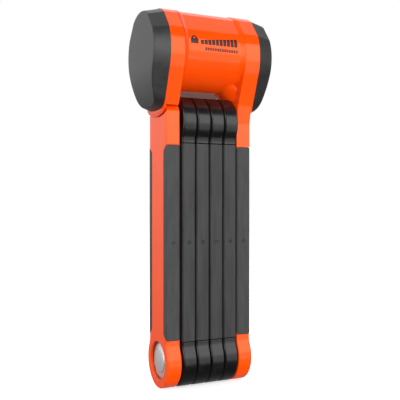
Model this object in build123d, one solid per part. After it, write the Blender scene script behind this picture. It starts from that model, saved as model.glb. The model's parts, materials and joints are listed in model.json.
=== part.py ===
from build123d import *
import math
import os

# Folding bicycle lock: six flat links hinged end to end, folded side by side into a pack,
# with a cross-wise lock head on top.  The links lie in planes X = constant.  Link 6 is fixed
# to the head on the +X side, links 5 to 2 follow it towards -X, and link 1 is the free end,
# whose steel tongue goes up into a slot in the head.
# Frame: X across the stack, -Y front, +Z up, origin at the middle of the underside.
# "Station" is the distance in +X from the outer face of link 1.

# ---- driving dimensions, millimetres ----
PIVOT_SPACING = 140.0      # between the two rivets of a link
LOBE_R = 16.1              # rounded link ends
BAR_HALF = 13.5            # half width of a jacketed link
PLATE_T = 5.0              # hardened steel bar
LINK_T = 8.6               # jacketed middle link
END_LINK_T = 8.8           # jacketed end link
LINK_GAP = 0.35            # between neighbouring links
FREE_GAP = 1.3             # between link 1 and link 2
LOCK_RISE = 42.5           # top rivet to the axis of the lock cylinder
CAP_OUT = 10.8             # end cap face beyond the link stack
COLLAR = 1.2               # orange rim beyond the link stack, under each cap
RING_T = 8.95              # head ring, from rim to inner edge
COVER_T = 1.4              # keyhole cover
BOLT_THROW = 9.5           # travel of the cross bolt over a quarter turn of the key

# ---- derived places ----
LOW_Z = LOBE_R                                  # bottom rivets
HIGH_Z = LOW_Z + PIVOT_SPACING                  # top rivets
LOCK_Z = HIGH_Z + LOCK_RISE                     # lock cylinder, tongue eye and cross bolt
MIDDLE = 4 * LINK_T + 4 * LINK_GAP + FREE_GAP
STACK = MIDDLE + 2 * END_LINK_T
X_ZERO = CAP_OUT - (STACK + 2 * CAP_OUT + COVER_T) / 2

SKIN_OUT = 1.7                                  # end link jacket outside its plate
SKIN_MID = (LINK_T - PLATE_T) / 2               # middle link jacket on each side
PLATE_HALF = 9.0
EYE_R = 13.0
TONGUE_HALF = 8.5
TONGUE_EYE_R = 10.4
BOLT_R = 5.0
BOLT_EYE_R = 5.35
FIT = 0.05                                      # moulded jacket around its plate
RUN = 0.05                                      # radial running clearance
PRESS = 0.02                                    # radial clearance of a pressed pin

RIVET_R = 5.0
HEAD_R = 7.4
HEAD_T = 1.4
WASHER_R = 8.0
SHOW_HEAD_R = 9.9                               # flush rivet head on each end link
RECESS_R = 11.2                                 # jacket opening around the flush head
BOSS_R = 7.0
BOSS_T = 0.6
FLUSH_HEAD_T = 2.4                              # depth of the flush head in the plate
SEAT_CLEAR = 0.12                               # around the flush head
HOLE_CLEAR = 0.3                                # jacket around rivet heads and washers
YOKE_WALL = 2.4                                 # ring of link 6's bar around the lock core
LINK_FILLET = 9.0                               # between a link's lobes and its bar
GATE_MARK = (1.5, 0.7)                          # size and depth

SEAM = 12.3                                     # jacket seams, from the nearest rivet
SEAM_GAP = 0.2
PAD_END = 13.5                                  # rubber pads stop this far from a rivet
PAD_WRAP = 4.2
PAD_LIP = 1.3
PAD_PROUD = 0.2
PAD_BEVEL = 0.85                                # rise of a pad's corner for each mm of width
PAD_HOLD = 1.0                                  # jacket spine inside a pad
BLOCK_HALF = 13.05
BLOCK_R = 14.3                                  # rounded shoulder of link 1, about its top
EDGE = 0.8                                      # small edge chamfers

# head outline, half widths and heights from the lock axis
CROWN = 24.3
CREASE = (13.5, 19.9)
SHOULDER = (21.3, 9.9)
WAIST = (24.1, -1.5)
TAPER = (22.0, -13.5)
FOOT = (13.4, -35.3)
FOOT_R = 1.3
KEEL = -37.0
CAP_FOOT = (13.8, -34.4)                        # the caps are rounder than the rings below
CAP_FOOT_R = 10.0
CAP_KEEL = -36.0
LIP_START = (11.0, -35.6, -36.9)                # lip under the left ring: half width, side, middle
LIP_END = (13.0, -36.0, -38.8)
LIP_TOP = -30.0
LIP_OUT = 0.7                                   # lower edge of the lip beyond link 1
LIP_SHADOW = 0.5                                # gap below the lip, seen from the side
LIP_RECESS = 0.6                                # depth of the face of link 1 behind the lip
CAP_SCALE = 0.892                               # cap face against the ring outline
CAP_BASE_SCALE = 0.985
CAP_WALL = 0.86                                 # cap hollow against its outside
CAP_SWEEP_Z = -10.5                             # below this the cap face curves inwards
CAP_SWEEP_R = 57.0
CAP_SWEEP_DROP = 30.0
CAP_SKIN = 2.4                                  # thickness of the cap's face
CAP_CORNER_R = 0.7

DRUM_R = 22.6
DRUM_CROWN = 23.9
DRUM_CREASE = (12.6, 19.5)
DRUM_SHOULDER = (19.9, 9.6)
DRUM_HIP = (20.4, -14.5)                        # rear corner of the underside: start, middle, end
DRUM_HEEL = (18.6, -21.0)
DRUM_REAR = (14.5, -24.5)
DRUM_BASE = 23.2
DRUM_FLARE = 1.06                               # fillet of the drum into its rings
FLARE_T = 2.4
CREASE_R = 2.0                                  # softened creases along the drum, rings and caps
RING_EDGE = 0.7                                 # rounded edges of the rings
WEB_REACH = 8.0                                 # web that carries the drum down into the neck
WEB_DEPTH = 10.0
WEB_SECTIONS = 5
FAIRING = ((16.2, -28.0), (15.05, -31.0))       # side of the right ring, carried on into the neck
NECK_JOIN = -42.0

SLOT = (1.4, 7.0)                               # tongue slot, stations
SLOT_FRONT = 11.2                               # closed front wall of the slot
SLOT_TOP = 11.4
SHOULDER_CLEAR = 0.4
SIDE_GAP = 0.3                                  # between the head and the outer face of link 1
SWING = 72                                      # link 1 about its top axis, up to the left ring
CORE_R = 19.2
BORE_R = 19.3
CORE_START = 7.1
CORE_END = 53.4
CAM_BORE_R = 7.4
CAM_R = 7.25
CAM_START = 12.5
CAM_END = 29.8
BARREL_R = 12.0
BARREL_START = 30.2
NOSE_R = 9.0
NOSE_END = 61.8
PLUG_R = 6.5
PLUG_BORE_R = 5.0
PLUG_START = 31.9
PLUG_END = 60.4
PIN_R = 1.5
PIN_HALF = 8.6
PIN_AT = 24.5
BOLT_TIP = 7.3
BOLT_TAIL = 28.0
TIP_BEVEL = 1.0
BUSH_R = 8.0
DISC_COUNT = 9
DISC_T = 1.6
DISC_PITCH = 2.6
DISC_START = 34.4
HINGE_RISE = 14.0                               # keyhole cover hinge above the lock axis
COVER_R = 10.0
PEGS = ((-8.0, -26.5), (8.0, -26.5), (0.0, 21.6))
PEG_R = 1.5
PEG_T = 2.0                                     # depth of a cap peg in the head
PEG_BOSS_R = 2.7
PEG_BOSS_T = 4.0                                # stations beyond the stack
KEY_SLOT = (2.2, 7.4)                           # keyway width and height
WARD_R = 1.9
CAM_STEPS = 24
BARREL_PIN_R = 2.0
BARREL_PIN_AT = 41.0
BARREL_PIN_LOW = 8.0                            # inner end, from the lock axis
SCREW_R = 1.6                                   # bore of the cap for the keyhole cover's screw
COVER_HUB_R = 4.2
SPANNER_HOLES = (14.5, 1.5)                     # in the retaining ring: distance from the axis, radius
BUSH_START = -6.2
BUSH_WALL = 2.5                                 # boss of the head around the bolt's bush
DOWEL_ANGLES = (40, 140, 220, 320)


def x_at(station):
    return X_ZERO + station


def slab(sketch, start, end):
    """A sketch drawn in (Y, Z), extruded between two stations."""
    return extrude(Plane.YZ.offset(x_at(start)) * sketch, amount=end - start)


def rod(radius, start, end, z=LOCK_Z, y=0.0):
    return slab(Pos(y, z) * Circle(radius), start, end)


def cone(radius_1, radius_2, start, end, z):
    """A cone along X, radius_1 at the first station."""
    plane_1 = Plane.YZ.offset(x_at(start))
    plane_2 = Plane.YZ.offset(x_at(end))
    return loft([plane_1 * Pos(0, z) * Circle(radius_1), plane_2 * Pos(0, z) * Circle(radius_2)])


def box(y_min, y_max, z_min, z_max, start, end):
    """A box between two stations."""
    sketch = Pos((y_min + y_max) / 2, (z_min + z_max) / 2) * Rectangle(y_max - y_min, z_max - z_min)
    return slab(sketch, start, end)


def save(shape, name):
    shape.label = name
    export_step(shape, f"parts/{name}.step")


# ---- outlines, drawn in (Y, Z) ----

def head_outline(scale=1.0, foot=FOOT, foot_r=FOOT_R, keel=KEEL):
    """Teardrop section of the head rings and end caps, about the lock axis."""
    side = [Line(CREASE, SHOULDER), ThreePointArc(SHOULDER, WAIST, TAPER), Line(TAPER, foot)]
    crown = ThreePointArc((-CREASE[0], CREASE[1]), (0, CROWN), CREASE)
    base = ThreePointArc(foot, (0, keel), (-foot[0], foot[1]))
    face = make_face(Curve() + [crown, base] + side + [mirror(edge, Plane.YZ) for edge in side])
    face = fillet([v for v in face.vertices() if v.Y > SHOULDER[1] - 1], CREASE_R)
    face = fillet([v for v in face.vertices() if v.Y < foot[1] + 0.1], foot_r)
    return Pos(0, LOCK_Z) * face.scale(scale)


def cap_outline(scale=1.0):
    return head_outline(scale, CAP_FOOT, CAP_FOOT_R, CAP_KEEL)


def drum_outline(scale=1.0):
    """Section of the drum between the rings: round in front, with a flat underside behind."""
    side = (DRUM_R * 0.8, -DRUM_R * 0.6)
    sole_start = (-2.0, -DRUM_BASE)
    edges = [
        ThreePointArc((-DRUM_CREASE[0], DRUM_CREASE[1]), (0, DRUM_CROWN), DRUM_CREASE),
        Line(DRUM_CREASE, DRUM_SHOULDER),
        ThreePointArc(DRUM_SHOULDER, (DRUM_R, -1.0), DRUM_HIP),
        ThreePointArc(DRUM_HIP, DRUM_HEEL, DRUM_REAR),
        Line(DRUM_REAR, sole_start),
        ThreePointArc(sole_start, (-DRUM_R * 0.47, -DRUM_R * 0.9), (-side[0], side[1])),
        ThreePointArc((-side[0], side[1]), (-DRUM_R, -1.0), (-DRUM_SHOULDER[0], DRUM_SHOULDER[1])),
        Line((-DRUM_SHOULDER[0], DRUM_SHOULDER[1]), (-DRUM_CREASE[0], DRUM_CREASE[1])),
    ]
    face = make_face(Curve() + edges)
    creases = [v for v in face.vertices() if v.Y > DRUM_SHOULDER[1] - 1]
    return Pos(0, LOCK_Z) * fillet(creases, CREASE_R).scale(scale)


def strip(half, low, high):
    return Pos(0, (low + high) / 2) * Rectangle(2 * half, high - low)


def disc(radius, z):
    return Pos(0, z) * Circle(radius)


def link_outline():
    """Jacket of a middle link: two round lobes and a slightly narrower bar."""
    sketch = strip(BAR_HALF, LOW_Z, HIGH_Z) + disc(LOBE_R, LOW_Z) + disc(LOBE_R, HIGH_Z)
    return fillet(sketch.vertices(), LINK_FILLET)


def end_link_outline(top):
    """Jacket of an end link: a lobe at the bottom rivet and a square bar up to top."""
    sketch = strip(BLOCK_HALF, LOW_Z, top) + disc(LOBE_R, LOW_Z)
    corners = [v for v in sketch.vertices() if v.Y < HIGH_Z - 20]
    return fillet(corners, LINK_FILLET)


def plate_outline(grow=0.0):
    """Steel bar of a middle link."""
    ends = disc(EYE_R + grow, LOW_Z) + disc(EYE_R + grow, HIGH_Z)
    return strip(PLATE_HALF + grow, LOW_Z, HIGH_Z) + ends


def tongue_outline(grow=0.0):
    """Steel bar of link 1, which goes on up into the head as a narrower tongue."""
    return (
        strip(PLATE_HALF + grow, LOW_Z, HIGH_Z)
        + strip(TONGUE_HALF + grow, HIGH_Z, LOCK_Z)
        + disc(EYE_R + grow, LOW_Z)
        + disc(TONGUE_EYE_R + grow, LOCK_Z)
    )


def yoke_outline(grow=0.0):
    """Steel bar of link 6, which ends in a ring around the lock core."""
    return (
        strip(PLATE_HALF + grow, LOW_Z, LOCK_Z - CORE_R)
        + disc(EYE_R + grow, LOW_Z)
        + disc(CORE_R + YOKE_WALL + grow, LOCK_Z)
    )


# ---- stations of the links and their plates ----

def link_span(number):
    """Stations of the outer faces of a link's jacket."""
    if number == 1:
        return 0.0, END_LINK_T
    if number == 6:
        return STACK - END_LINK_T, STACK
    start = END_LINK_T + FREE_GAP + (number - 2) * (LINK_T + LINK_GAP)
    return start, start + LINK_T


def plate_span(number):
    start, end = link_span(number)
    if number == 1:
        return SKIN_OUT, SKIN_OUT + PLATE_T
    if number == 6:
        return end - SKIN_OUT - PLATE_T, end - SKIN_OUT
    return start + SKIN_MID, end - SKIN_MID


# ---- rivets: one joins link n + 1, in which it is pressed, to link n, which turns on it ----

def rivet_z(lower):
    """Height of the rivet between link lower and the next one."""
    return LOW_Z if lower % 2 else HIGH_Z


def rivet(lower):
    z = rivet_z(lower)
    start = plate_span(lower)[0]
    end = plate_span(lower + 1)[1]
    if lower == 1:
        shape = rod(RIVET_R, start + 0.5, end + HEAD_T, z) + rod(BOSS_R, start - BOSS_T, start + 0.6, z)
        shape += cone(SHOW_HEAD_R, RIVET_R, start + RUN, start + FLUSH_HEAD_T, z)
        return shape + rod(HEAD_R, end + PRESS, end + HEAD_T, z)
    if lower == 5:
        shape = rod(RIVET_R, start - HEAD_T, end - 0.5, z) + rod(BOSS_R, end - 0.6, end + BOSS_T, z)
        shape += cone(RIVET_R, SHOW_HEAD_R, end - FLUSH_HEAD_T, end - RUN, z)
        return shape + rod(HEAD_R, start - HEAD_T, start - RUN, z)
    shape = rod(RIVET_R, start - HEAD_T, end + HEAD_T, z)
    shape += rod(HEAD_R, start - HEAD_T, start - RUN, z)
    return shape + rod(HEAD_R, end + PRESS, end + HEAD_T, z)


def washer(lower):
    """Spacer between the two plates of a joint, riding with the rivet."""
    z = rivet_z(lower)
    start = plate_span(lower)[1] + RUN
    end = plate_span(lower + 1)[0] - 0.01
    return rod(WASHER_R, start, end, z) - rod(RIVET_R + PRESS, start - 1, end + 1, z)


def countersink(number):
    """Countersunk seat of the flush rivet head in an end link's plate."""
    start, end = plate_span(number)
    wide, narrow = SHOW_HEAD_R + SEAT_CLEAR, RIVET_R + SEAT_CLEAR
    depth = FLUSH_HEAD_T + 0.1
    if number == 1:
        return cone(wide, narrow, start - 0.001, start + depth, LOW_Z)
    return cone(narrow, wide, end - depth, end + 0.001, LOW_Z)


def drill_plate(plate, number):
    """Rivet holes of one plate: pressed where the rivet rides with the link, running where not."""
    start, end = plate_span(number)
    for lower in (number - 1, number):
        if 1 <= lower <= 5:
            clearance = RUN if lower == number else PRESS
            plate -= rod(RIVET_R + clearance, start - 1, end + 1, rivet_z(lower))
    if number in (1, 6):
        plate -= countersink(number)
    return plate


def drill_jacket(jacket, number):
    """Openings of a jacket for rivet heads and spacers."""
    start, end = link_span(number)
    plate_start, plate_end = plate_span(number)
    for lower in (number - 1, number):
        if not 1 <= lower <= 5:
            continue
        z = rivet_z(lower)
        rivet_below = lower == number - 1      # the mate lies towards -X
        head, spacer = HEAD_R + HOLE_CLEAR, WASHER_R + HOLE_CLEAR
        if number in (1, 6):
            head = RECESS_R
        low_r, high_r = (spacer, head) if rivet_below else (head, spacer)
        jacket -= rod(low_r, start - 1, plate_start + 0.5, z)
        jacket -= rod(high_r, plate_end - 0.5, end + 1, z)
    return jacket


# ---- middle links ----

def gate_mark(start, end):
    """Small diamond left by the moulding gate, at mid length of the front edge."""
    middle = (start + end) / 2
    prism = Box(GATE_MARK[0], GATE_MARK[1], GATE_MARK[0])
    return Pos(x_at(middle), -BAR_HALF, LOW_Z + PIVOT_SPACING / 2) * Rot(0, 45, 0) * prism


def middle_link(number):
    start, end = link_span(number)
    plate_start, plate_end = plate_span(number)
    plate = drill_plate(slab(plate_outline(), plate_start, plate_end), number)
    jacket = slab(link_outline(), start, end)
    rims = jacket.edges().group_by(Axis.X)
    jacket = chamfer(rims[0] + rims[-1], EDGE)
    jacket -= slab(plate_outline(FIT), plate_start - FIT, plate_end + FIT)
    jacket = drill_jacket(jacket, number) - gate_mark(start, end)
    low_seam, high_seam = LOW_Z + SEAM, HIGH_Z - SEAM
    half_gap = SEAM_GAP / 2
    pieces = {
        "bottom_cover": (LOW_Z - 30, low_seam - half_gap),
        "sleeve": (low_seam + half_gap, high_seam - half_gap),
        "top_cover": (high_seam + half_gap, HIGH_Z + 30),
    }
    save(plate, f"link_{number}_plate")
    for name, (low, high) in pieces.items():
        save(jacket & box(-20, 20, low, high, start - 1, end + 1), f"link_{number}_{name}")


# ---- rubber pads of the end links ----

def pad_outline(side):
    """Side view of a pad: a long strip with 45 degree corners; side is -1 front, 1 rear."""
    low, high = LOW_Z + PAD_END, HIGH_Z - PAD_END
    inner, outer = BAR_HALF - PAD_WRAP, BAR_HALF
    slope = PAD_WRAP * PAD_BEVEL
    points = [(outer, low), (outer, high), (inner, high - slope), (inner, low + slope)]
    return make_face(Polyline([(side * y, z) for y, z in points], close=True))


def pad_seat(side, start, end):
    """The narrow spine of the jacket that a pad wraps around."""
    inner, spine = BAR_HALF - PAD_WRAP - PAD_HOLD, PLATE_HALF + 1.5
    y_min, y_max = sorted((side * inner, side * spine))
    return box(y_min, y_max, LOW_Z, HIGH_Z, start + PAD_LIP, end - PAD_LIP)


def pad(side, number):
    start, end = link_span(number)
    proud = (-PAD_PROUD, 0.0) if number == 1 else (0.0, PAD_PROUD)
    shape = slab(pad_outline(side), start + proud[0], end + proud[1])
    outer = shape.edges().filter_by(Axis.Z).sort_by(Axis.Y)
    shape = chamfer(outer[-2:] if side > 0 else outer[:2], EDGE)
    shape -= pad_seat(side, start - FIT, end + FIT)
    if side < 0:
        shape -= gate_mark(start, end)
    return shape


def end_jacket(outline, number):
    """Jacket of an end link, with room for its plate, its pads and its rivet."""
    start, end = link_span(number)
    jacket = slab(outline, start, end)
    rims = jacket.edges().group_by(Axis.X)
    jacket = chamfer(rims[0] + rims[-1], EDGE * 0.6)
    for side in (-1, 1):
        notch = slab(pad_outline(side), start - 1, end + 1) - pad_seat(side, start, end)
        y_min, y_max = sorted((side * (BAR_HALF - 0.6), side * 20))
        jacket -= notch
        jacket -= box(y_min, y_max, LOW_Z + PAD_END, HIGH_Z - PAD_END, start - 1, end + 1)
    return drill_jacket(jacket, number)


def link_1():
    start, end = link_span(1)
    plate_start, plate_end = plate_span(1)
    plate = drill_plate(slab(tongue_outline(), plate_start, plate_end), 1)
    plate -= rod(BOLT_EYE_R, plate_start - 1, plate_end + 1)
    shoulder = strip(BLOCK_HALF, HIGH_Z - 20, LOCK_Z) & disc(BLOCK_R, HIGH_Z)
    outline = end_link_outline(HIGH_Z) + shoulder
    jacket = end_jacket(outline, 1)
    jacket -= slab(tongue_outline(FIT), plate_start - FIT, plate_end + FIT)
    jacket -= lip_recess()
    save(plate, "link_1_plate")
    save(jacket, "link_1_cover")
    save(pad(-1, 1), "link_1_front_pad")
    save(pad(1, 1), "link_1_rear_pad")


def link_6():
    start, end = link_span(6)
    plate_start, plate_end = plate_span(6)
    plate = drill_plate(slab(yoke_outline(), plate_start, plate_end), 6)
    plate -= rod(BORE_R, plate_start - 1, plate_end + 1)
    plate -= dowels(PRESS, 1.0)
    jacket = end_jacket(end_link_outline(HIGH_Z - PAD_END), 6)
    jacket -= slab(yoke_outline(FIT), plate_start - FIT, plate_end + FIT)
    save(plate, "link_6_plate")
    save(jacket, "link_6_cover")
    save(pad(-1, 6), "link_6_front_pad")
    save(pad(1, 6), "link_6_rear_pad")


# ---- lock head ----

def dowels(grow=0.0, longer=0.0):
    """Steel pins half in the yoke ring and half in the core, which key them together."""
    start, end = plate_span(6)
    pins = []
    for angle in DOWEL_ANGLES:
        y = (BORE_R - 0.05) * math.cos(math.radians(angle))
        z = (BORE_R - 0.05) * math.sin(math.radians(angle))
        pins.append(rod(PIN_R + grow, start - longer, end + longer, LOCK_Z + z, y))
    return pins[0] + pins[1:]


def lip_outline(half, side, middle):
    """Area between LIP_TOP and an arc that hangs below the left ring."""
    arc = ThreePointArc((-half, side), (0, middle), (half, side))
    return Pos(0, LOCK_Z) * make_face(Curve() + [arc, Polyline([(half, side), (0, LIP_TOP), (-half, side)])])


def toe_lip():
    """Bevelled lower rim of the left ring, which hides the top seam of link 1."""
    outer = Plane.YZ.offset(x_at(-COLLAR)) * lip_outline(*LIP_START)
    inner = Plane.YZ.offset(x_at(-LIP_OUT)) * lip_outline(*LIP_END)
    return loft([outer, inner], ruled=True) + slab(lip_outline(*LIP_END), -LIP_OUT, -SIDE_GAP)


def lip_recess():
    """Shallow step in the outer face of link 1, behind the lip."""
    half, side, middle = LIP_END[0] + 1, LIP_END[1] - LIP_SHADOW, LIP_END[2] - LIP_SHADOW
    arc = ThreePointArc((-half, side), (0, middle), (half, side))
    top = LIP_TOP + 10
    sketch = make_face(Curve() + [arc, Polyline([(half, side), (half, top), (-half, top), (-half, side)])])
    return slab(Pos(0, LOCK_Z) * sketch, -1, LIP_RECESS)


def flare(start, end, scale_1, scale_2):
    """Conical fillet between the drum and one of its rings."""
    first = Plane.YZ.offset(x_at(start)) * drum_outline(scale_1)
    last = Plane.YZ.offset(x_at(end)) * drum_outline(scale_2)
    return loft([first, last], ruled=True) & slab(head_outline(), start - 1, end + 1)


def web_outline(depth):
    """Drum section whose underside hangs lower by depth."""
    side = (BLOCK_HALF, -math.sqrt(DRUM_R ** 2 - BLOCK_HALF ** 2))
    edges = [
        ThreePointArc(side, (0, -DRUM_R - depth), (-side[0], side[1])),
        Polyline([(-side[0], side[1]), (-side[0], 0), (side[0], 0), side]),
    ]
    return Pos(0, LOCK_Z) * make_face(Curve() + edges)


def web(ring_start):
    """Concave web under the drum, which carries it down into the neck of link 6."""
    sections = []
    for index in range(WEB_SECTIONS + 1):
        share = index / WEB_SECTIONS
        depth = WEB_DEPTH * share ** 1.5
        place = Plane.YZ.offset(x_at(ring_start - WEB_REACH * (1 - share)))
        sections.append(place * web_outline(depth))
    body = loft(sections) & slab(head_outline(), ring_start - WEB_REACH - 1, ring_start + 1)
    reach = LOBE_R + SHOULDER_CLEAR
    return body - rod(reach, 8, STACK, HIGH_Z) - swept_rear(reach, 8, STACK)


def neck_fairing(start, end):
    """Carries the tapering sides of the right ring on down into the neck."""
    side = [*FAIRING, (BLOCK_HALF, NECK_JOIN)]
    points = side + [(-y, z) for y, z in reversed(side)]
    body = slab(Pos(0, LOCK_Z) * make_face(Polyline(points, close=True)), start, end)
    sides = [edge for edge in body.edges().group_by(Axis.X)[0] if abs(edge.center().Y) > 5]
    return fillet(sides, RING_EDGE)


def ring(start, end, inner):
    """One head ring with rounded edges; inner is the index of its inner side among the two."""
    body = slab(head_outline(), start, end)
    rims = body.edges().group_by(Axis.X)
    body = fillet(rims[inner], RING_EDGE)
    outer = body.edges().group_by(Axis.X)[-1 - inner]
    return fillet(outer, RING_EDGE / 2)


def swept_rear(reach, start, end):
    """Room behind the top rivets, for link ends that swing back about the bottom rivets."""
    sketch = disc(PIVOT_SPACING + reach, LOW_Z) & (Pos(40, HIGH_Z) * Rectangle(80, 60))
    return slab(sketch, start, end)


def swing_room(start, end):
    """Room for link 1 at the end of its swing about the top axis, with its bar to the front."""
    bar = Pos(0, -15) * Rectangle(2 * BLOCK_HALF + 0.5, 30)
    return slab(Pos(0, HIGH_Z) * Rot(0, 0, -SWING) * bar, start, end)


def tongue_slot():
    """Slot for the tongue: closed in front and above, open below and behind."""
    height = LOCK_RISE + SLOT_TOP + 16
    sketch = Pos(-SLOT_FRONT + 30, LOCK_Z + SLOT_TOP - height / 2) * Rectangle(60, height)
    sketch = sketch - Pos(-SLOT_FRONT, LOCK_Z + SLOT_TOP) * Rectangle(2 * SLOT_FRONT, 2 * SLOT_TOP)
    sketch += disc(SLOT_FRONT, LOCK_Z)
    return slab(sketch, *SLOT)


def head_housing():
    neck_start, neck_end = link_span(6)
    ring_inner = neck_start
    left_inner = RING_T - COLLAR
    body = slab(drum_outline(), left_inner - 1, ring_inner + 1)
    body += ring(-COLLAR, left_inner, -1)
    body += ring(ring_inner, STACK + COLLAR, 0)
    body += flare(left_inner, left_inner + FLARE_T, DRUM_FLARE, 1.0)
    body += flare(ring_inner - FLARE_T, ring_inner, 1.0, DRUM_FLARE)
    body += slab(strip(BLOCK_HALF, HIGH_Z - PAD_END + 0.1, LOCK_Z - 20), neck_start, neck_end)
    body += neck_fairing(ring_inner, neck_end)
    body += web(ring_inner)
    body += toe_lip()
    body += rod(BUSH_R + BUSH_WALL, BUSH_START - 0.2, -COLLAR + 0.5)
    body -= tongue_slot()
    clear = BLOCK_R + SHOULDER_CLEAR
    body -= rod(clear, -SIDE_GAP, neck_start - LINK_T, HIGH_Z)
    body -= swept_rear(clear, -SIDE_GAP, neck_start - LINK_T)
    body -= swing_room(-SIDE_GAP, END_LINK_T)
    plate_start, plate_end = plate_span(6)
    body -= slab(yoke_outline(FIT), plate_start - FIT, plate_end + FIT)
    body -= rod(BORE_R, SLOT[1] - 0.1, STACK + COLLAR + 1)
    body -= rod(BUSH_R + PRESS, -10, SLOT[0] + 1)
    for y, z in PEGS:
        body -= rod(PEG_R + PRESS, -COLLAR - 0.01, -COLLAR + PEG_T + 0.1, LOCK_Z + z, y)
        body -= rod(PEG_R + PRESS, STACK + COLLAR - PEG_T - 0.1, STACK + COLLAR + 0.01, LOCK_Z + z, y)
    return body


def cap_profile(side):
    """Side view of a cap: flat face above, sweeping inwards below; side is -1 left, 1 right."""
    base = x_at(-COLLAR if side < 0 else STACK + COLLAR)
    face = x_at(-CAP_OUT if side < 0 else STACK + CAP_OUT)
    drop = CAP_SWEEP_DROP
    inset = CAP_SWEEP_R - math.sqrt(CAP_SWEEP_R ** 2 - drop ** 2)
    half_inset = CAP_SWEEP_R - math.sqrt(CAP_SWEEP_R ** 2 - (drop / 2) ** 2)
    bend = LOCK_Z + CAP_SWEEP_Z
    sweep = ThreePointArc(
        (face, bend), (face - side * half_inset, bend - drop / 2), (face - side * inset, bend - drop)
    )
    rest = Polyline(
        [(face - side * inset, bend - drop), (base - side * 5, bend - drop),
         (base - side * 5, LOCK_Z + 40), (face, LOCK_Z + 40), (face, bend)]
    )
    return extrude(Plane.XZ * make_face(Curve() + [sweep, rest]), amount=40, both=True)


def cap_body(side, scale, shorten):
    base = -COLLAR if side < 0 else STACK + COLLAR
    face = -CAP_OUT + shorten if side < 0 else STACK + CAP_OUT - shorten
    first = Plane.YZ.offset(x_at(base)) * cap_outline(CAP_BASE_SCALE * scale)
    last = Plane.YZ.offset(x_at(face)) * cap_outline(CAP_SCALE * scale)
    return loft([first, last] if side > 0 else [last, first], ruled=True)


def end_cap(side):
    """Hollow plastic cap, open towards the head and held by three pegs."""
    shell = cap_body(side, 1.0, 0.0) & cap_profile(side)
    face = x_at(-CAP_OUT if side < 0 else STACK + CAP_OUT)
    rim = [e for e in shell.edges() if e.length > 3 and is_rim(e, side, face)]
    shell = fillet(rim, CAP_CORNER_R)
    hollow = cap_body(side, CAP_WALL, CAP_SKIN) & (Pos(-side * CAP_SKIN, 0, 0) * cap_profile(side))
    shell -= hollow
    for y, z in PEGS:
        if side < 0:
            shell += rod(PEG_BOSS_R, -PEG_BOSS_T, -COLLAR, LOCK_Z + z, y) & shell_room(side)
            shell += rod(PEG_R, -PEG_BOSS_T, -COLLAR + PEG_T, LOCK_Z + z, y)
        else:
            shell += rod(PEG_BOSS_R, STACK + COLLAR, STACK + PEG_BOSS_T, LOCK_Z + z, y) & shell_room(side)
            shell += rod(PEG_R, STACK + COLLAR - PEG_T, STACK + PEG_BOSS_T, LOCK_Z + z, y)
    return shell


def shell_room(side):
    return cap_body(side, 0.97, 0.5)


def is_rim(edge, side, face):
    """True for the edges where the cap's outer face meets its side wall."""
    middle = edge.center()
    depth = side * (face - middle.X)
    flat = abs(edge.bounding_box().size.X)
    if middle.Z > LOCK_Z + CAP_SWEEP_Z - 1:
        return depth < 0.2
    return depth < 8.0 and flat < 6.0 and abs(middle.X - x_at(STACK / 2)) > STACK / 2 + 3


def right_cap():
    cap = end_cap(1)
    cap -= rod(NOSE_R + 0.25, STACK - 1, STACK + CAP_OUT + 1)
    cap -= rod(SCREW_R, STACK + 5, STACK + CAP_OUT + 1, LOCK_Z + HINGE_RISE)
    return cap


def lock_core():
    core = rod(CORE_R, CORE_START, CORE_END)
    core -= rod(BOLT_R + 0.06, CORE_START - 1, CAM_START)
    core -= rod(CAM_BORE_R, CAM_START - 0.3, BARREL_START + 0.5)
    core -= rod(BARREL_R + PRESS, BARREL_START - 0.1, CORE_END + 1)
    groove_start = PIN_AT - BOLT_THROW - PIN_R - 0.3
    groove_end = PIN_AT + PIN_R + 0.3
    core -= box(-PIN_R - 0.1, PIN_R + 0.1, LOCK_Z - PIN_HALF - 0.2, LOCK_Z + PIN_HALF + 0.2,
                groove_start, groove_end)
    core -= barrel_pin(PRESS, 2.0)
    return core - dowels(PRESS, 0.05)


def barrel_pin(grow=0.0, longer=0.0):
    """Radial pin that stops the barrel from turning or being pulled out."""
    length = CORE_R - 0.4 - BARREL_PIN_LOW + longer
    pin = Cylinder(BARREL_PIN_R + grow, length, align=(Align.CENTER, Align.CENTER, Align.MIN))
    return Pos(x_at(BARREL_PIN_AT), 0, LOCK_Z + BARREL_PIN_LOW) * pin


def barrel():
    shape = rod(BARREL_R, BARREL_START, CORE_END) + rod(NOSE_R, BARREL_START, NOSE_END)
    shape -= rod(CAM_BORE_R, BARREL_START - 1, PLUG_START + 0.1)
    shape -= rod(PLUG_R + RUN, BARREL_START, NOSE_END + 1)
    shape -= box(PLUG_R - 0.8, PLUG_R + 0.8, LOCK_Z - 0.9, LOCK_Z + 0.9, 33.5, 59.0)
    return shape - barrel_pin(PRESS, 1.0)


def key_slot(start, end):
    """Keyway: a flat slot with a rounded side ward."""
    width, height = KEY_SLOT
    slot = box(-width / 2, width / 2, LOCK_Z - height / 2, LOCK_Z + height / 2, start, end)
    return slot + rod(WARD_R, start, end)


def key_plug():
    plug = rod(PLUG_R, PLUG_START, PLUG_END) - rod(PLUG_BORE_R, PLUG_START + 2.2, PLUG_END + 1)
    plug -= box(-PLUG_R - 1, -PLUG_BORE_R + 0.6, LOCK_Z - 0.85, LOCK_Z + 0.85,
                DISC_START - 0.5, DISC_START + DISC_COUNT * DISC_PITCH - 0.5)
    return plug


def plug_face():
    return rod(PLUG_R, PLUG_END + 0.02, NOSE_END - 0.2) - key_slot(PLUG_END - 1, NOSE_END + 1)


def disc_stack(first, thickness, count):
    discs = []
    for index in range(count):
        start = first + index * DISC_PITCH
        turned = rod(PLUG_BORE_R - 0.08, start, start + thickness) - key_slot(start - 1, start + 4)
        discs.append(turned)
    return discs[0] + discs[1:]


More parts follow.
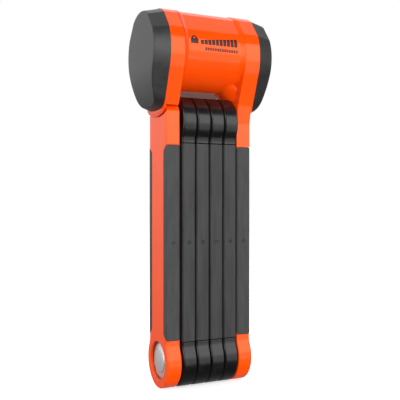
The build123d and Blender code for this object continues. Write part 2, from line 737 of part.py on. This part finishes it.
def sidebar():
    """Bar that drops out of the plug into the barrel's groove when the discs line up."""
    length = DISC_COUNT * DISC_PITCH - 1.2
    return box(-PLUG_R + 0.1, -PLUG_BORE_R - 0.02, LOCK_Z - 0.8, LOCK_Z + 0.8,
               DISC_START - 0.4, DISC_START - 0.4 + length)


def bolt_cam():
    """Sleeve on the plug with two helical slots, which drive the bolt along the lock axis."""
    sleeve = rod(CAM_R, CAM_START, PLUG_START - 0.02) - rod(BOLT_R + 0.1, CAM_START - 1, CAM_END)
    cutter = None
    for index in range(CAM_STEPS + 1):
        share = index / CAM_STEPS
        pin = Cylinder(PIN_R + 0.15, 2 * (CAM_R + 1), align=(Align.CENTER,) * 3)
        place = Pos(x_at(PIN_AT - BOLT_THROW * share), 0, LOCK_Z) * Rot(90 * share, 0, 0)
        cutter = place * pin if cutter is None else cutter + place * pin
    return sleeve - cutter


def cross_bolt():
    """Sliding bolt with a bevelled tip, carried by the pin that the cam drives."""
    shank = rod(BOLT_R, BOLT_TIP + TIP_BEVEL, BOLT_TAIL)
    tip = cone(BOLT_R - TIP_BEVEL, BOLT_R, BOLT_TIP, BOLT_TIP + TIP_BEVEL, LOCK_Z)
    return shank + tip - bolt_pin(PRESS, 1.0)


def bolt_pin(grow=0.0, longer=0.0):
    pin = Cylinder(PIN_R + grow, 2 * (PIN_HALF + longer), align=(Align.CENTER,) * 3)
    return Pos(x_at(PIN_AT), 0, LOCK_Z) * pin


def bolt_receiver():
    """Hardened bush in the left wall that takes the tip of the bolt."""
    return rod(BUSH_R, BUSH_START, SLOT[0] - 0.1) - rod(BOLT_EYE_R, -3.4, SLOT[0] + 1)


def retaining_ring():
    ring = rod(BORE_R - PRESS, CORE_END + 0.02, STACK + COLLAR - 0.3)
    ring -= rod(NOSE_R + 0.3, CORE_END - 1, STACK + COLLAR + 1)
    distance, radius = SPANNER_HOLES
    for y in (-distance, distance):
        ring -= rod(radius, CORE_END - 1, STACK + COLLAR + 1, LOCK_Z, y)
    return ring


def keyhole_cover():
    start = STACK + CAP_OUT + 0.1
    sketch = disc(COVER_R, LOCK_Z) + disc(COVER_HUB_R, LOCK_Z + HINGE_RISE)
    sketch += Pos(0, LOCK_Z + HINGE_RISE / 2) * Rectangle(2 * COVER_HUB_R - 0.4, HINGE_RISE)
    cover = slab(sketch, start, STACK + CAP_OUT + COVER_T)
    rim = cover.edges().group_by(Axis.X)[-1]
    cover = chamfer(rim, EDGE / 2)
    return cover - rod(SCREW_R + RUN, start - 1, start + 3, LOCK_Z + HINGE_RISE)


def cover_screw():
    """Shouldered screw that the keyhole cover turns on, with a slot for a driver."""
    end = STACK + CAP_OUT + COVER_T - 0.35
    z = LOCK_Z + HINGE_RISE
    return rod(SCREW_R - PRESS, STACK + 6, end, z) - box(-2, 2, z - 0.25, z + 0.25, end - 0.5, end + 1)


os.makedirs("parts", exist_ok=True)

link_1()
link_6()
for middle in range(2, 6):
    middle_link(middle)
for lower, letter in zip(range(5, 0, -1), "abcde"):
    save(rivet(lower), f"pivot_rivet_{letter}")
    save(washer(lower), f"pivot_washer_{letter}")
save(head_housing(), "head_housing")
save(end_cap(-1), "left_end_cap")
save(right_cap(), "right_end_cap")
save(lock_core(), "lock_core")
save(dowels(), "core_dowels")
save(barrel(), "cylinder_barrel")
save(barrel_pin(), "barrel_pin")
save(retaining_ring(), "retaining_ring")
save(bolt_receiver(), "bolt_receiver")
save(key_plug(), "key_plug")
save(plug_face(), "plug_face")
save(disc_stack(DISC_START, DISC_T, DISC_COUNT), "detainer_discs")
save(disc_stack(DISC_START + DISC_T + 0.1, DISC_PITCH - DISC_T - 0.2, DISC_COUNT - 1), "spacer_discs")
save(sidebar(), "sidebar")
save(bolt_cam(), "bolt_cam")
save(cross_bolt(), "cross_bolt")
save(bolt_pin(), "bolt_pin")
save(keyhole_cover(), "keyhole_cover")
save(cover_screw(), "cover_screw")
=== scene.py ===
"""Folding bicycle lock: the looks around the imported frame.

Metres, +Z up, X across the stack of links, -Y the front.  Link 1 is the free end link at -X, and
link 6 at +X carries the lock head.
"""
import json
import math

import bmesh
import bpy
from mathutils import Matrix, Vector
from mathutils.bvhtree import BVHTree

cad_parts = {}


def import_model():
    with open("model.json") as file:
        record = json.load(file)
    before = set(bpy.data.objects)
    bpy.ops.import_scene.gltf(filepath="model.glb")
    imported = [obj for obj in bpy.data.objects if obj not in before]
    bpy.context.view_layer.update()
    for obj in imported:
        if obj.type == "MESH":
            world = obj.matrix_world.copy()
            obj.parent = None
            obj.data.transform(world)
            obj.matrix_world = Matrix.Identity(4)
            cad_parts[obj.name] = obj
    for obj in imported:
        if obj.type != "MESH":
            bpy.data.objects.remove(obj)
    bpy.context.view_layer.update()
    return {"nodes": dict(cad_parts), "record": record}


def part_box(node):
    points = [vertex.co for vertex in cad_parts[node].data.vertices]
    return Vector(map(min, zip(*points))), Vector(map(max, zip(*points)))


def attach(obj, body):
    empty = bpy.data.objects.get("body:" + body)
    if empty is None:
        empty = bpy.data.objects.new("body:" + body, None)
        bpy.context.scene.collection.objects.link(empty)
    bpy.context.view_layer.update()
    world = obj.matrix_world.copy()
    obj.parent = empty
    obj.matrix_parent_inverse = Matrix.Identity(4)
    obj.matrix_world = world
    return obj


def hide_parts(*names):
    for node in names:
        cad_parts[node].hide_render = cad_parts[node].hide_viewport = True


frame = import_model()
NODES = frame["nodes"]
BODY_OF = {node: body for body, nodes in frame["record"]["behaviour"]["bodies"].items() for node in nodes}
SLOT_OF = {part["node"]: part["material_slot"] for part in frame["record"]["subparts"]}
MM = 0.001

BARREL_LOW, BARREL_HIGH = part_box("cylinder_barrel")
LOCK_Z = (BARREL_LOW.z + BARREL_HIGH.z) / 2
STACK_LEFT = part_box("link_1_cover")[0].x

# camera
EYE_Z = 0.1118
EYE_DISTANCE = 0.4004                   # from the vertical axis of the object
EYE_AZIMUTH = 25.3                      # degrees to the left of the front
HEADING = 25.25                         # degrees, turned back towards the object
TILT = 0.155                            # degrees downwards
FOCAL = 59.3                            # millimetres, on a 36 mm sensor

# visible rounding of moulded edges
EDGE_ROUND = 0.3 * MM
EDGE_ANGLE = 28                         # degrees; sharper edges than this are rounded
EDGE_STEPS = 3

# end rivets: (depth from the outer face, radius) in millimetres, from the crown to the shank
SHOWN_HEAD = [
    (0.0, 0.0), (0.0, 6.5), (0.06, 6.75), (0.22, 6.95), (0.56, 7.0), (0.65, 7.15),
    (0.65, 9.35), (0.72, 9.68), (0.95, 9.86), (3.05, 5.0),
]
# the same from the inner face, from the shank to the dimple in the closing head
CLOSING_HEAD = [(1.45, 5.0), (1.4, 7.35), (0.3, 7.4), (0.0, 7.1), (0.0, 2.2), (0.5, 1.6), (0.5, 0.0)]

# printed mark on the drum, from the left end of the pictogram
MARK_START = 11.5 * MM                  # to the right of the outer face of link 1
MARK_BASE = 1.2 * MM                    # above the lock axis
PADLOCK = (4.6 * MM, 3.0 * MM)
SHACKLE = (0.9 * MM, 1.7 * MM)          # inner and outer radius
BARS = 10
BAR_START = 6.2 * MM
BAR_PITCH = 2.4 * MM
BAR_WIDTH = 1.9 * MM
BAR_HEIGHTS = (2.4 * MM, 4.8 * MM)      # first and last
SHORT_BARS = 14
SHORT_START = 9.0 * MM
SHORT_PITCH = 1.52 * MM
SHORT_BAR = (1.05 * MM, 1.7 * MM)
SHORT_BASE = -2.2 * MM
INK_LIFT = 0.04 * MM                    # outside of the print above the surface
INK_ROOT = -0.02 * MM


# ---- materials ----

class Finish:
    """A node material under construction: a Principled shader and helpers for what feeds it."""

    def __init__(self, name):
        self.material = bpy.data.materials.new(name)
        self.material.use_nodes = True
        self.tree = self.material.node_tree
        self.shader = self.tree.nodes["Principled BSDF"]
        self.place = self.tree.nodes.new("ShaderNodeTexCoord").outputs["Object"]

    def node(self, kind, **settings):
        made = self.tree.nodes.new(kind)
        for key, value in settings.items():
            setattr(made, key, value)
        return made

    def link(self, output, target):
        self.tree.links.new(output, target)

    def set(self, **values):
        for key, value in values.items():
            self.shader.inputs[key.replace("_", " ")].default_value = value
        return self

    def noise(self, scale, detail=3.0, roughness=0.5, stretch=(1, 1, 1)):
        """Noise with features of about 1 / scale metres, stretched along an axis if asked."""
        mapping = self.node("ShaderNodeMapping")
        mapping.inputs["Scale"].default_value = stretch
        self.link(self.place, mapping.inputs["Vector"])
        noise = self.node("ShaderNodeTexNoise")
        noise.inputs["Scale"].default_value = scale
        noise.inputs["Detail"].default_value = detail
        noise.inputs["Roughness"].default_value = roughness
        self.link(mapping.outputs["Vector"], noise.inputs["Vector"])
        return noise.outputs["Fac"]

    def grade(self, source, low, high, start=0.35, end=0.65):
        """Maps a noise value to numbers between low and high."""
        ranged = self.node("ShaderNodeMapRange")
        for key, value in (("From Min", start), ("From Max", end), ("To Min", low), ("To Max", high)):
            ranged.inputs[key].default_value = value
        self.link(source, ranged.inputs["Value"])
        return ranged.outputs["Result"]

    def colours(self, source, dark, light, start=0.35, end=0.65):
        """Maps a noise value to a colour between dark and light."""
        ramp = self.node("ShaderNodeValToRGB")
        for stop, place, colour in zip(ramp.color_ramp.elements, (start, end), (dark, light)):
            stop.position = place
            stop.color = (*colour, 1)
        self.link(source, ramp.inputs["Fac"])
        return ramp.outputs["Color"]

    def base(self, output):
        self.link(output, self.shader.inputs["Base Color"])
        return self

    def rough(self, output):
        self.link(output, self.shader.inputs["Roughness"])
        return self

    def bump(self, layers):
        """Adds (height output, depth in metres) layers of fine relief."""
        normal = None
        for height, depth in layers:
            bump = self.node("ShaderNodeBump")
            bump.inputs["Distance"].default_value = depth
            bump.inputs["Strength"].default_value = 1.0
            self.link(height, bump.inputs["Height"])
            if normal:
                self.link(normal, bump.inputs["Normal"])
            normal = bump.outputs["Normal"]
        self.link(normal, self.shader.inputs["Normal"])
        return self


def orange_plastic():
    """Glossy moulded plastic with a faint flow pattern."""
    f = Finish("orange_plastic")
    f.set(IOR=1.485, Specular_Tint=(1.0, 1.0, 0.65, 1.0))
    f.base(f.colours(f.noise(60, 4), (0.92, 0.066, 0.0004), (0.97, 0.074, 0.0008), 0.3, 0.7))
    f.rough(f.grade(f.noise(900, 5), 0.11, 0.17))
    return f.bump([(f.noise(140, 2), 0.000008)]).material


def jacket_black():
    """Matt black moulding with a fine spark-eroded texture, drawn out along the link."""
    f = Finish("jacket_black")
    f.set(IOR=1.45)
    grain = f.noise(3800, 4, 0.65)
    flow = f.noise(420, 4, 0.6, (1, 1, 0.08))
    f.base(f.colours(flow, (0.019, 0.019, 0.019), (0.032, 0.032, 0.032)))
    f.rough(f.grade(grain, 0.36, 0.54))
    return f.bump([(grain, 0.000012), (flow, 0.00002)]).material


def cover_black():
    """Glossy black moulding of the link ends."""
    f = Finish("cover_black")
    f.set(IOR=1.5)
    f.base(f.colours(f.noise(160, 4), (0.004, 0.004, 0.0045), (0.008, 0.008, 0.0085)))
    f.rough(f.grade(f.noise(500, 4), 0.20, 0.26))
    return f.bump([(f.noise(260, 2), 0.000008)]).material


def pad_rubber():
    """Soft grey-black rubber with a dusty bloom and a fine grain."""
    f = Finish("pad_rubber")
    f.set(IOR=1.45, Sheen_Weight=0.05, Sheen_Roughness=0.5)
    grain = f.noise(3200, 5, 0.7)
    f.base(f.colours(f.noise(500, 4, 0.6, (1, 1, 0.12)), (0.031, 0.031, 0.031), (0.044, 0.044, 0.044)))
    f.rough(f.grade(grain, 0.48, 0.68))
    return f.bump([(grain, 0.000016)]).material


def cap_grey():
    """Dark grey cap plastic with a fine moulded leather-like texture."""
    f = Finish("cap_grey")
    f.set(IOR=1.58)
    grain = f.noise(2600, 5, 0.6)
    f.base(f.colours(f.noise(300, 4), (0.014, 0.0138, 0.0142), (0.021, 0.0207, 0.0213)))
    f.rough(f.grade(grain, 0.32, 0.48))
    return f.bump([(grain, 0.00002)]).material


def mark_ink(name, colour):
    """Pad-printed ink with a slightly uneven cover."""
    f = Finish(name)
    f.set(IOR=1.45)
    lighter = tuple(channel * 1.3 for channel in colour)
    f.base(f.colours(f.noise(2500, 3), colour, lighter))
    f.rough(f.grade(f.noise(1800, 3), 0.3, 0.42))
    return f.material


def metal(name, dark, light, rough, scratch=(1, 1, 1), scale=900, depth=0.000006):
    f = Finish(name)
    f.set(Metallic=1.0)
    marks = f.noise(scale, 5, 0.65, scratch)
    f.base(f.colours(marks, dark, light))
    f.rough(f.grade(marks, *rough))
    return f.bump([(marks, depth)]).material


MATERIALS = {
    "orange_plastic": orange_plastic(),
    "jacket_black": jacket_black(),
    "cover_black": cover_black(),
    "pad_rubber": pad_rubber(),
    "cap_grey": cap_grey(),
    "bar_steel": metal("bar_steel", (0.30, 0.30, 0.31), (0.45, 0.45, 0.46), (0.32, 0.5), (1, 1, 0.05)),
    "rivet_steel": metal("rivet_steel", (0.86, 0.85, 0.84), (0.95, 0.94, 0.93), (0.38, 0.5)),
    "core_steel": metal("core_steel", (0.46, 0.46, 0.47), (0.58, 0.58, 0.59), (0.25, 0.4), (0.1, 1, 1)),
    "lock_brass": metal("lock_brass", (0.66, 0.48, 0.20), (0.80, 0.62, 0.30), (0.22, 0.36), (0.1, 1, 1)),
    "mark_dark": mark_ink("mark_dark", (0.022, 0.005, 0.005)),
    "mark_pale": mark_ink("mark_pale", (0.08, 0.014, 0.011)),
    "cover_steel": metal("cover_steel", (0.62, 0.62, 0.63), (0.74, 0.74, 0.75), (0.12, 0.22)),
}


def clothe(piece, slot):
    piece.data.materials.clear()
    piece.data.materials.append(MATERIALS[slot])


# ---- shapes ----

def softened(node):
    """A copy of a CAD node's shape with its sharp edges rounded; it stands for the node."""
    source = NODES[node]
    mesh = source.data.copy()
    work = bmesh.new()
    work.from_mesh(mesh)
    bmesh.ops.remove_doubles(work, verts=work.verts, dist=1e-6)
    bmesh.ops.dissolve_limit(work, angle_limit=math.radians(0.6), verts=work.verts, edges=work.edges)
    for face in work.faces:
        face.smooth = True
    work.to_mesh(mesh)
    work.free()
    if "custom_normal" in mesh.attributes:
        mesh.attributes.remove(mesh.attributes["custom_normal"])
    piece = bpy.data.objects.new(f"{node}_skin", mesh)
    bpy.context.scene.collection.objects.link(piece)
    bevel = piece.modifiers.new("round_edges", "BEVEL")
    bevel.width = EDGE_ROUND
    bevel.segments = EDGE_STEPS
    bevel.limit_method = "ANGLE"
    bevel.angle_limit = math.radians(EDGE_ANGLE)
    bevel.use_clamp_overlap = False
    bevel.harden_normals = True
    clothe(piece, SLOT_OF[node])
    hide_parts(node)
    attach(piece, BODY_OF[node])


def as_object(name, work, slot, body):
    """Turns a bmesh into a shown piece with a finish, riding on a body."""
    mesh = bpy.data.meshes.new(name)
    bmesh.ops.recalc_face_normals(work, faces=work.faces)
    for face in work.faces:
        face.smooth = True
    work.to_mesh(mesh)
    work.free()
    piece = bpy.data.objects.new(name, mesh)
    bpy.context.scene.collection.objects.link(piece)
    clothe(piece, slot)
    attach(piece, body)
    return piece


def turned(name, profile, height, slot, body, steps=128):
    """Solid of revolution about the X axis at y = 0, z = height, from (x, radius) points."""
    work = bmesh.new()
    rings = []
    for x, radius in profile:
        if radius == 0:
            rings.append([work.verts.new((x, 0, height))] * steps)
            continue
        circle = []
        for index in range(steps):
            turn = 2 * math.pi * index / steps
            circle.append(work.verts.new((x, radius * math.cos(turn), height + radius * math.sin(turn))))
        rings.append(circle)
    for near, far in zip(rings, rings[1:]):
        for index in range(steps):
            after = (index + 1) % steps
            corners = [near[index], near[after], far[after], far[index]]
            work.faces.new(list(dict.fromkeys(corners)))
    return as_object(name, work, slot, body)


# ---- end rivets: a crowned boss in a turned head, flush in the end links ----

def end_rivet(node, outward):
    """Rivet whose head shows in an end link; outward is -1 for the left end, 1 for the right."""
    low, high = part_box(node)
    face = low.x if outward < 0 else high.x
    tail = high.x if outward < 0 else low.x
    centre = (low.z + high.z) / 2
    profile = [(face - outward * depth * MM, radius * MM) for depth, radius in SHOWN_HEAD]
    profile += [(tail + outward * depth * MM, radius * MM) for depth, radius in CLOSING_HEAD]
    piece = turned(f"{node}_turned", profile, centre, "rivet_steel", BODY_OF[node])
    piece.modifiers.new("crisp", "EDGE_SPLIT").split_angle = math.radians(40)
    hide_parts(node)


# ---- printed mark on the drum: a padlock pictogram and two rows of level bars ----

def printed_patch(work, surface, corners, columns, rows):
    """Adds a thin patch between four (x, z) corners, laid on the surface seen from the front."""
    sheets = []
    for lift in (INK_LIFT, INK_ROOT):
        sheet = []
        for row in range(rows + 1):
            line = []
            for column in range(columns + 1):
                across, up = column / columns, row / rows
                bottom = Vector(corners[0]).lerp(Vector(corners[1]), across)
                top = Vector(corners[3]).lerp(Vector(corners[2]), across)
                spot = bottom.lerp(top, up)
                hit = surface.ray_cast(Vector((spot.x, -1, spot.y)), Vector((0, 1, 0)))
                line.append(work.verts.new(hit[0] + hit[1] * lift))
            sheet.append(line)
        sheets.append(sheet)
    outer, inner = sheets
    for row in range(rows):
        for column in range(columns):
            for sheet in sheets:
                work.faces.new([sheet[row][column], sheet[row][column + 1],
                                sheet[row + 1][column + 1], sheet[row + 1][column]])
    border = [(0, c) for c in range(columns)] + [(r, columns) for r in range(rows)]
    border += [(rows, c) for c in range(columns, 0, -1)] + [(r, 0) for r in range(rows, 0, -1)]
    for (row, column), (next_row, next_column) in zip(border, border[1:] + border[:1]):
        work.faces.new([outer[row][column], outer[next_row][next_column],
                        inner[next_row][next_column], inner[row][column]])


def printed_arc(work, surface, centre, inner, outer, start, end, steps=16):
    """A curved band of the mark, as a row of small patches."""
    def point(radius, angle):
        return (centre[0] + radius * math.cos(angle), centre[1] + radius * math.sin(angle))

    for step in range(steps):
        first = start + (end - start) * step / steps
        second = start + (end - start) * (step + 1) / steps
        corners = [point(inner, first), point(outer, first), point(outer, second), point(inner, second)]
        printed_patch(work, surface, corners, 1, 1)


def printed_bar(work, surface, x, z, width, height):
    """An upright bar, in cells small enough to follow the drum."""
    corners = [(x, z), (x + width, z), (x + width, z + height), (x, z + height)]
    columns = max(1, round(width / (0.6 * MM)))
    rows = max(2, round(height / (0.4 * MM)))
    printed_patch(work, surface, corners, columns, rows)


def drum_mark():
    """Dark pictogram and level bars, with a paler row of short bars underneath."""
    source = bmesh.new()
    source.from_mesh(NODES["head_housing"].data)
    surface = BVHTree.FromBMesh(source)
    start = STACK_LEFT + MARK_START
    bold = bmesh.new()
    base = LOCK_Z + MARK_BASE
    printed_bar(bold, surface, start, base, *PADLOCK)
    middle = (start + PADLOCK[0] / 2, base + PADLOCK[1])
    printed_arc(bold, surface, middle, *SHACKLE, 0.0, math.pi)
    low, high = BAR_HEIGHTS
    for index in range(BARS):
        height = low + (high - low) * index / (BARS - 1)
        printed_bar(bold, surface, start + BAR_START + BAR_PITCH * index, base, BAR_WIDTH, height)
    mark = as_object("drum_mark", bold, "mark_dark", "head")
    pale = bmesh.new()
    for index in range(SHORT_BARS):
        left = start + SHORT_START + SHORT_PITCH * index
        printed_bar(pale, surface, left, LOCK_Z + SHORT_BASE, *SHORT_BAR)
    under = as_object("drum_mark_underline", pale, "mark_pale", "head")
    source.free()


# ---- stage ----

def camera():
    """Level camera, 25 degrees to the left of the front."""
    data = bpy.data.cameras.new("camera")
    data.sensor_width = 36
    data.lens = FOCAL
    data.clip_start = 0.01
    eye = bpy.data.objects.new("camera", data)
    azimuth = math.radians(EYE_AZIMUTH)
    eye.location = (-EYE_DISTANCE * math.sin(azimuth), -EYE_DISTANCE * math.cos(azimuth), EYE_Z)
    eye.rotation_euler = (math.radians(90 - TILT), 0, -math.radians(HEADING))
    bpy.context.scene.collection.objects.link(eye)
    bpy.context.scene.camera = eye


def panel(name, place, target, width, height, radiance, mirrored=True):
    """Soft box that looks equally bright whatever its size; if not mirrored, it only fills the shade."""
    data = bpy.data.lights.new(name, "AREA")
    data.shape = "RECTANGLE"
    data.size, data.size_y = width, height
    data.energy = radiance * math.pi * width * height
    lamp = bpy.data.objects.new(name, data)
    lamp.location = place
    aim = Vector(target) - Vector(place)
    lamp.rotation_euler = aim.to_track_quat("-Z", "Y").to_euler()
    lamp.visible_camera = False
    lamp.visible_glossy = mirrored
    bpy.context.scene.collection.objects.link(lamp)


def world():
    """White backdrop: bright behind and beside the object, dim in front and below."""
    made = bpy.data.worlds.new("studio")
    made.use_nodes = True
    tree = made.node_tree
    tree.nodes.clear()
    place = tree.nodes.new("ShaderNodeTexCoord")
    axes = tree.nodes.new("ShaderNodeSeparateXYZ")
    tree.links.new(place.outputs["Generated"], axes.inputs[0])
    depth = tree.nodes.new("ShaderNodeMapRange")
    for key, value in (("From Min", -0.35), ("From Max", 0.55), ("To Min", 0.10), ("To Max", 0.95)):
        depth.inputs[key].default_value = value
    tree.links.new(axes.outputs["Y"], depth.inputs["Value"])
    height = tree.nodes.new("ShaderNodeMapRange")
    for key, value in (("From Min", -0.25), ("From Max", 0.2), ("To Min", 0.28), ("To Max", 1.0)):
        height.inputs[key].default_value = value
    tree.links.new(axes.outputs["Z"], height.inputs["Value"])
    light = tree.nodes.new("ShaderNodeMath")
    light.operation = "MULTIPLY"
    tree.links.new(depth.outputs["Result"], light.inputs[0])
    tree.links.new(height.outputs["Result"], light.inputs[1])
    path = tree.nodes.new("ShaderNodeLightPath")
    seen = tree.nodes.new("ShaderNodeMix")
    tree.links.new(path.outputs["Is Camera Ray"], seen.inputs["Factor"])
    tree.links.new(light.outputs[0], seen.inputs["A"])
    seen.inputs["B"].default_value = 1.0
    background = tree.nodes.new("ShaderNodeBackground")
    background.inputs["Color"].default_value = (1, 1, 1, 1)
    tree.links.new(seen.outputs["Result"], background.inputs["Strength"])
    output = tree.nodes.new("ShaderNodeOutputWorld")
    tree.links.new(background.outputs[0], output.inputs[0])
    bpy.context.scene.world = made


def floor():
    mesh = bpy.data.meshes.new("floor")
    work = bmesh.new()
    bmesh.ops.create_circle(work, cap_ends=True, segments=96, radius=6.0)
    work.to_mesh(mesh)
    work.free()
    ground = bpy.data.objects.new("floor", mesh)
    ground.location.z = -0.0002
    bpy.context.scene.collection.objects.link(ground)
    f = Finish("pale_floor")
    f.set(Roughness=0.9, Specular_IOR_Level=0.0, Emission_Color=(1, 1, 1, 1), Emission_Strength=0.62)
    f.base(f.colours(f.noise(40, 3), (0.84, 0.84, 0.84), (0.87, 0.87, 0.87)))
    mesh.materials.append(f.material)
    ground.visible_diffuse = False
    ground.visible_glossy = False
    ground.visible_shadow = False


for node, slot in SLOT_OF.items():
    clothe(NODES[node], slot)

for end in (1, 6):
    softened(f"link_{end}_cover")
for end in (1, 6):
    for part in ("front_pad", "rear_pad"):
        softened(f"link_{end}_{part}")
for number in range(2, 6):
    for part in ("sleeve", "top_cover", "bottom_cover"):
        softened(f"link_{number}_{part}")

end_rivet("pivot_rivet_e", -1)
end_rivet("pivot_rivet_a", 1)
drum_mark()

camera()
world()
floor()
panel("front_upper", (0.25, -1.5, 0.79), (0.0, 0.0, 0.79), 2.6, 1.18, 2.5)
panel("front_lower", (0.25, -1.5, -0.16), (0.0, 0.0, -0.16), 2.6, 0.72, 1.15)
panel("top_panel", (0, 0.35, 1.3), (0, 0, 0.15), 1.4, 0.9, 0.55)
panel("left_panel", (-1.4, -0.1, 0.5), (0, 0, 0.12), 1.1, 1.1, 2.75)
panel("left_fill", (-0.95, -1.05, 0.45), (0, 0, 0.12), 1.0, 1.0, 2.3, mirrored=False)
panel("low_fill", (0.2, -1.0, -0.6), (0, 0, 0.15), 1.0, 0.8, 3.0, mirrored=False)
bpy.context.scene.view_settings.view_transform = "Standard"
